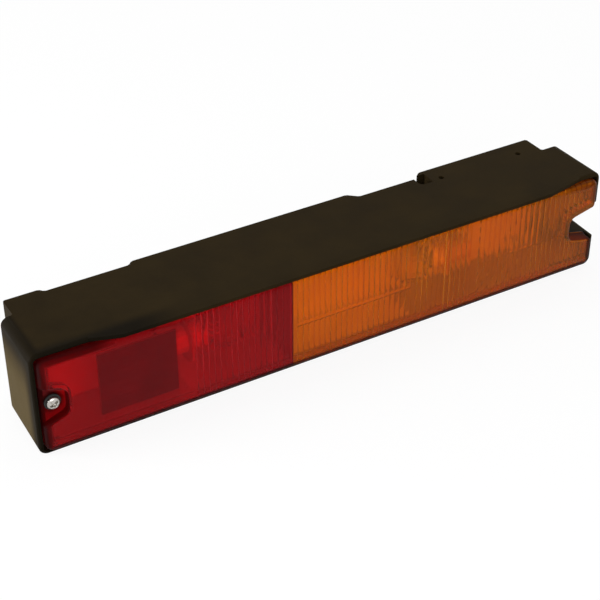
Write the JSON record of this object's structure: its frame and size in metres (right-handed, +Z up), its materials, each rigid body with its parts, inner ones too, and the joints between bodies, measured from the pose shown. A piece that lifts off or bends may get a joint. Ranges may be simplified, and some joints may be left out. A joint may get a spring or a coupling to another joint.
{
  "type": "tail light cluster",
  "caption": "Long rear lamp cluster: black moulded housing, red and amber fluted lens, reflex reflector, screw pocket at one end and a through notch at the other.",
  "frame": {"origin": "on the rear mounting face, midway between the two fixing inserts", "axes": "+X along the lamp from the red end to the amber end, +Y back into the vehicle, +Z up; the lens faces -Y"},
  "size_m": [0.3745, 0.0636, 0.0679],
  "materials": {
    "black_plastic": "moulded, fine grain, satin",
    "red_lens": "clear red acrylic, smooth outside, fluted inside",
    "amber_lens": "clear amber acrylic, smooth outside, fluted inside",
    "reflex_red": "moulded prisms",
    "seal_rubber": "matt",
    "plated_steel": "zinc plated",
    "white_enamel": "white enamel on folded steel sheet, a reflector as well as a carrier",
    "brass_parts": "turned or stamped",
    "bulb_cap_brass": "nickel washed",
    "bulb_glass": "clear blown glass",
    "filament_wire": "drawn wire",
    "phenolic": "brown moulded insulator"
  },
  "bodies": {
    "root": {"housing": "black_plastic", "lens_red": "red_lens", "lens_amber": "amber_lens", "reflex_reflector": "reflex_red", "lens_gasket": "seal_rubber", "lens_screw": "plated_steel", "lens_screw_washer": "seal_rubber", "lens_screw_insert": "brass_parts", "red_bulb_carrier": "white_enamel", "amber_bulb_carrier": "white_enamel", "carrier_screws": "plated_steel", "stop_tail_socket": "brass_parts", "indicator_socket": "brass_parts", "stop_tail_insulator": "phenolic", "indicator_insulator": "phenolic", "stop_contact": "brass_parts", "tail_contact": "brass_parts", "indicator_contact": "brass_parts", "stop_tail_bulb_cap": "bulb_cap_brass", "stop_tail_bulb_glass": "bulb_glass", "stop_tail_filaments": "filament_wire", "indicator_bulb_cap": "bulb_cap_brass", "indicator_bulb_glass": "bulb_glass", "indicator_filament": "filament_wire", "terminal_block": "phenolic", "terminal_blades": "brass_parts", "terminal_block_screw": "plated_steel", "cable_grommet": "seal_rubber", "mounting_inserts": "brass_parts"}
  },
  "joints": []
}
